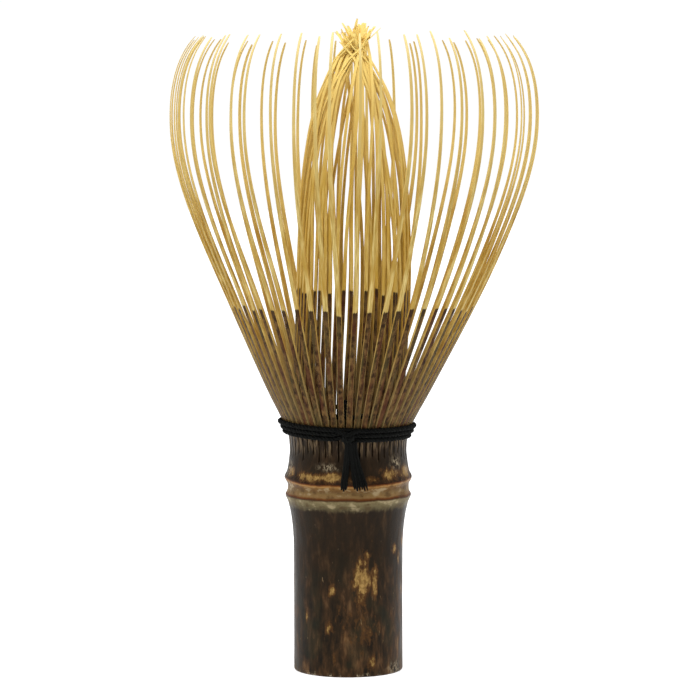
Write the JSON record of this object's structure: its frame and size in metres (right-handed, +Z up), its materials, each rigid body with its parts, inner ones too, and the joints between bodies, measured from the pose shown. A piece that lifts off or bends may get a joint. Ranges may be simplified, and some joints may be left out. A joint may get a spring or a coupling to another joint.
{
  "type": "bamboo tea whisk",
  "caption": "Standing bamboo whisk: a dark culm handle with a node ridge, an outer and an inner crown of fine springy tines, and black binding thread.",
  "frame": {"origin": "centre of the foot, the open lower end of the handle that the whisk stands on", "axes": "+Z up along the culm towards the tips of the tines, -Y towards the knot of the thread"},
  "size_m": [0.0686, 0.0686, 0.1189],
  "materials": {
    "bamboo_skin": "satin dark mottled bamboo skin",
    "bamboo_tines": "satin split bamboo with fine lengthwise grain",
    "black_thread": "matte twisted thread"
  },
  "bodies": {
    "handle": {"culm_handle": "bamboo_skin", "binding_thread": "black_thread", "inner_weave_thread": "black_thread", "thread_knot": "black_thread", "thread_tail_left": "black_thread", "thread_tail_right": "black_thread"},
    "outer_01": {"outer_tines_01": "bamboo_tines"},
    "outer_02": {"outer_tines_02": "bamboo_tines"},
    "outer_03": {"outer_tines_03": "bamboo_tines"},
    "outer_04": {"outer_tines_04": "bamboo_tines"},
    "outer_05": {"outer_tines_05": "bamboo_tines"},
    "outer_06": {"outer_tines_06": "bamboo_tines"},
    "outer_07": {"outer_tines_07": "bamboo_tines"},
    "outer_08": {"outer_tines_08": "bamboo_tines"},
    "outer_09": {"outer_tines_09": "bamboo_tines"},
    "outer_10": {"outer_tines_10": "bamboo_tines"},
    "outer_11": {"outer_tines_11": "bamboo_tines"},
    "outer_12": {"outer_tines_12": "bamboo_tines"},
    "outer_13": {"outer_tines_13": "bamboo_tines"},
    "outer_14": {"outer_tines_14": "bamboo_tines"},
    "outer_15": {"outer_tines_15": "bamboo_tines"},
    "outer_16": {"outer_tines_16": "bamboo_tines"},
    "outer_17": {"outer_tines_17": "bamboo_tines"},
    "outer_18": {"outer_tines_18": "bamboo_tines"},
    "inner_01": {"inner_tines_01": "bamboo_tines"},
    "inner_02": {"inner_tines_02": "bamboo_tines"},
    "inner_03": {"inner_tines_03": "bamboo_tines"},
    "inner_04": {"inner_tines_04": "bamboo_tines"},
    "inner_05": {"inner_tines_05": "bamboo_tines"},
    "inner_06": {"inner_tines_06": "bamboo_tines"},
    "inner_07": {"inner_tines_07": "bamboo_tines"},
    "inner_08": {"inner_tines_08": "bamboo_tines"},
    "inner_09": {"inner_tines_09": "bamboo_tines"},
    "inner_10": {"inner_tines_10": "bamboo_tines"},
    "inner_11": {"inner_tines_11": "bamboo_tines"},
    "inner_12": {"inner_tines_12": "bamboo_tines"},
    "inner_13": {"inner_tines_13": "bamboo_tines"},
    "inner_14": {"inner_tines_14": "bamboo_tines"},
    "inner_15": {"inner_tines_15": "bamboo_tines"},
    "inner_16": {"inner_tines_16": "bamboo_tines"},
    "inner_17": {"inner_tines_17": "bamboo_tines"},
    "inner_18": {"inner_tines_18": "bamboo_tines"}
  },
  "joints": [
    {"name": "outer_flex_01", "type": "hinge", "parent": "handle", "child": "outer_01", "pos_m": [0.00015, -0.0107, 0.0452], "axis": [0.9999, 0.014, 0], "range_deg": [-5, 5], "stiffness_Nm_per_rad": 0.013},
    {"name": "outer_flex_02", "type": "hinge", "parent": "handle", "child": "outer_02", "pos_m": [0.0038, -0.01, 0.0452], "axis": [0.9348, 0.3551, 0], "range_deg": [-5, 5], "stiffness_Nm_per_rad": 0.013},
    {"name": "outer_flex_03", "type": "hinge", "parent": "handle", "child": "outer_03", "pos_m": [0.00699, -0.0081, 0.0452], "axis": [0.757, 0.6534, 0], "range_deg": [-5, 5], "stiffness_Nm_per_rad": 0.013},
    {"name": "outer_flex_04", "type": "hinge", "parent": "handle", "child": "outer_04", "pos_m": [0.00934, -0.00522, 0.0452], "axis": [0.4879, 0.8729, 0], "range_deg": [-5, 5], "stiffness_Nm_per_rad": 0.013},
    {"name": "outer_flex_05", "type": "hinge", "parent": "handle", "child": "outer_05", "pos_m": [0.01056, -0.00171, 0.0452], "axis": [0.1599, 0.9871, 0], "range_deg": [-5, 5], "stiffness_Nm_per_rad": 0.013},
    {"name": "outer_flex_06", "type": "hinge", "parent": "handle", "child": "outer_06", "pos_m": [0.01051, 0.002, 0.0452], "axis": [-0.1874, 0.9823, 0], "range_deg": [-5, 5], "stiffness_Nm_per_rad": 0.013},
    {"name": "outer_flex_07", "type": "hinge", "parent": "handle", "child": "outer_07", "pos_m": [0.00919, 0.00548, 0.0452], "axis": [-0.512, 0.859, 0], "range_deg": [-5, 5], "stiffness_Nm_per_rad": 0.013},
    {"name": "outer_flex_08", "type": "hinge", "parent": "handle", "child": "outer_08", "pos_m": [0.00676, 0.00829, 0.0452], "axis": [-0.7749, 0.632, 0], "range_deg": [-5, 5], "stiffness_Nm_per_rad": 0.013},
    {"name": "outer_flex_09", "type": "hinge", "parent": "handle", "child": "outer_09", "pos_m": [0.00352, 0.0101, 0.0452], "axis": [-0.9444, 0.3289, 0], "range_deg": [-5, 5], "stiffness_Nm_per_rad": 0.013},
    {"name": "outer_flex_10", "type": "hinge", "parent": "handle", "child": "outer_10", "pos_m": [-0.00015, 0.0107, 0.0452], "axis": [-0.9999, -0.014, 0], "range_deg": [-5, 5], "stiffness_Nm_per_rad": 0.013},
    {"name": "outer_flex_11", "type": "hinge", "parent": "handle", "child": "outer_11", "pos_m": [-0.0038, 0.01, 0.0452], "axis": [-0.9348, -0.3551, 0], "range_deg": [-5, 5], "stiffness_Nm_per_rad": 0.013},
    {"name": "outer_flex_12", "type": "hinge", "parent": "handle", "child": "outer_12", "pos_m": [-0.00699, 0.0081, 0.0452], "axis": [-0.757, -0.6534, 0], "range_deg": [-5, 5], "stiffness_Nm_per_rad": 0.013},
    {"name": "outer_flex_13", "type": "hinge", "parent": "handle", "child": "outer_13", "pos_m": [-0.00934, 0.00522, 0.0452], "axis": [-0.4879, -0.8729, 0], "range_deg": [-5, 5], "stiffness_Nm_per_rad": 0.013},
    {"name": "outer_flex_14", "type": "hinge", "parent": "handle", "child": "outer_14", "pos_m": [-0.01056, 0.00171, 0.0452], "axis": [-0.1599, -0.9871, 0], "range_deg": [-5, 5], "stiffness_Nm_per_rad": 0.013},
    {"name": "outer_flex_15", "type": "hinge", "parent": "handle", "child": "outer_15", "pos_m": [-0.01051, -0.002, 0.0452], "axis": [0.1874, -0.9823, 0], "range_deg": [-5, 5], "stiffness_Nm_per_rad": 0.013},
    {"name": "outer_flex_16", "type": "hinge", "parent": "handle", "child": "outer_16", "pos_m": [-0.00919, -0.00548, 0.0452], "axis": [0.512, -0.859, 0], "range_deg": [-5, 5], "stiffness_Nm_per_rad": 0.013},
    {"name": "outer_flex_17", "type": "hinge", "parent": "handle", "child": "outer_17", "pos_m": [-0.00676, -0.00829, 0.0452], "axis": [0.7749, -0.632, 0], "range_deg": [-5, 5], "stiffness_Nm_per_rad": 0.013},
    {"name": "outer_flex_18", "type": "hinge", "parent": "handle", "child": "outer_18", "pos_m": [-0.00352, -0.0101, 0.0452], "axis": [0.9444, -0.3289, 0], "range_deg": [-5, 5], "stiffness_Nm_per_rad": 0.013},
    {"name": "inner_flex_01", "type": "hinge", "parent": "handle", "child": "inner_01", "pos_m": [0.00068, -0.00938, 0.0446], "axis": [0.9974, 0.0721, 0], "range_deg": [0, 5], "stiffness_Nm_per_rad": 0.006},
    {"name": "inner_flex_02", "type": "hinge", "parent": "handle", "child": "inner_02", "pos_m": [0.00384, -0.00858, 0.0446], "axis": [0.9126, 0.4089, 0], "range_deg": [0, 5], "stiffness_Nm_per_rad": 0.006},
    {"name": "inner_flex_03", "type": "hinge", "parent": "handle", "child": "inner_03", "pos_m": [0.00655, -0.00675, 0.0446], "axis": [0.7177, 0.6963, 0], "range_deg": [0, 5], "stiffness_Nm_per_rad": 0.006},
    {"name": "inner_flex_04", "type": "hinge", "parent": "handle", "child": "inner_04", "pos_m": [0.00846, -0.0041, 0.0446], "axis": [0.4363, 0.8998, 0], "range_deg": [0, 5], "stiffness_Nm_per_rad": 0.006},
    {"name": "inner_flex_05", "type": "hinge", "parent": "handle", "child": "inner_05", "pos_m": [0.00935, -0.00096, 0.0446], "axis": [0.1022, 0.9948, 0], "range_deg": [0, 5], "stiffness_Nm_per_rad": 0.006},
    {"name": "inner_flex_06", "type": "hinge", "parent": "handle", "child": "inner_06", "pos_m": [0.00911, 0.0023, 0.0446], "axis": [-0.2442, 0.9697, 0], "range_deg": [0, 5], "stiffness_Nm_per_rad": 0.006},
    {"name": "inner_flex_07", "type": "hinge", "parent": "handle", "child": "inner_07", "pos_m": [0.00778, 0.00528, 0.0446], "axis": [-0.5611, 0.8277, 0], "range_deg": [0, 5], "stiffness_Nm_per_rad": 0.006},
    {"name": "inner_flex_08", "type": "hinge", "parent": "handle", "child": "inner_08", "pos_m": [0.00551, 0.00762, 0.0446], "axis": [-0.8104, 0.5859, 0], "range_deg": [0, 5], "stiffness_Nm_per_rad": 0.006},
    {"name": "inner_flex_09", "type": "hinge", "parent": "handle", "child": "inner_09", "pos_m": [0.00257, 0.00904, 0.0446], "axis": [-0.9619, 0.2734, 0], "range_deg": [0, 5], "stiffness_Nm_per_rad": 0.006},
    {"name": "inner_flex_10", "type": "hinge", "parent": "handle", "child": "inner_10", "pos_m": [-0.00068, 0.00938, 0.0446], "axis": [-0.9974, -0.0721, 0], "range_deg": [0, 5], "stiffness_Nm_per_rad": 0.006},
    {"name": "inner_flex_11", "type": "hinge", "parent": "handle", "child": "inner_11", "pos_m": [-0.00384, 0.00858, 0.0446], "axis": [-0.9126, -0.4089, 0], "range_deg": [0, 5], "stiffness_Nm_per_rad": 0.006},
    {"name": "inner_flex_12", "type": "hinge", "parent": "handle", "child": "inner_12", "pos_m": [-0.00655, 0.00675, 0.0446], "axis": [-0.7177, -0.6963, 0], "range_deg": [0, 5], "stiffness_Nm_per_rad": 0.006},
    {"name": "inner_flex_13", "type": "hinge", "parent": "handle", "child": "inner_13", "pos_m": [-0.00846, 0.0041, 0.0446], "axis": [-0.4363, -0.8998, 0], "range_deg": [0, 5], "stiffness_Nm_per_rad": 0.006},
    {"name": "inner_flex_14", "type": "hinge", "parent": "handle", "child": "inner_14", "pos_m": [-0.00935, 0.00096, 0.0446], "axis": [-0.1022, -0.9948, 0], "range_deg": [0, 5], "stiffness_Nm_per_rad": 0.006},
    {"name": "inner_flex_15", "type": "hinge", "parent": "handle", "child": "inner_15", "pos_m": [-0.00911, -0.0023, 0.0446], "axis": [0.2442, -0.9697, 0], "range_deg": [0, 5], "stiffness_Nm_per_rad": 0.006},
    {"name": "inner_flex_16", "type": "hinge", "parent": "handle", "child": "inner_16", "pos_m": [-0.00778, -0.00528, 0.0446], "axis": [0.5611, -0.8277, 0], "range_deg": [0, 5], "stiffness_Nm_per_rad": 0.006},
    {"name": "inner_flex_17", "type": "hinge", "parent": "handle", "child": "inner_17", "pos_m": [-0.00551, -0.00762, 0.0446], "axis": [0.8104, -0.5859, 0], "range_deg": [0, 5], "stiffness_Nm_per_rad": 0.006},
    {"name": "inner_flex_18", "type": "hinge", "parent": "handle", "child": "inner_18", "pos_m": [-0.00257, -0.00904, 0.0446], "axis": [0.9619, -0.2734, 0], "range_deg": [0, 5], "stiffness_Nm_per_rad": 0.006}
  ],
  "couplings": [
    {"joint": "inner_flex_02", "follows": "inner_flex_01", "ratio": 1},
    {"joint": "inner_flex_03", "follows": "inner_flex_01", "ratio": 1},
    {"joint": "inner_flex_04", "follows": "inner_flex_01", "ratio": 1},
    {"joint": "inner_flex_05", "follows": "inner_flex_01", "ratio": 1},
    {"joint": "inner_flex_06", "follows": "inner_flex_01", "ratio": 1},
    {"joint": "inner_flex_07", "follows": "inner_flex_01", "ratio": 1},
    {"joint": "inner_flex_08", "follows": "inner_flex_01", "ratio": 1},
    {"joint": "inner_flex_09", "follows": "inner_flex_01", "ratio": 1},
    {"joint": "inner_flex_10", "follows": "inner_flex_01", "ratio": 1},
    {"joint": "inner_flex_11", "follows": "inner_flex_01", "ratio": 1},
    {"joint": "inner_flex_12", "follows": "inner_flex_01", "ratio": 1},
    {"joint": "inner_flex_13", "follows": "inner_flex_01", "ratio": 1},
    {"joint": "inner_flex_14", "follows": "inner_flex_01", "ratio": 1},
    {"joint": "inner_flex_15", "follows": "inner_flex_01", "ratio": 1},
    {"joint": "inner_flex_16", "follows": "inner_flex_01", "ratio": 1},
    {"joint": "inner_flex_17", "follows": "inner_flex_01", "ratio": 1},
    {"joint": "inner_flex_18", "follows": "inner_flex_01", "ratio": 1}
  ]
}
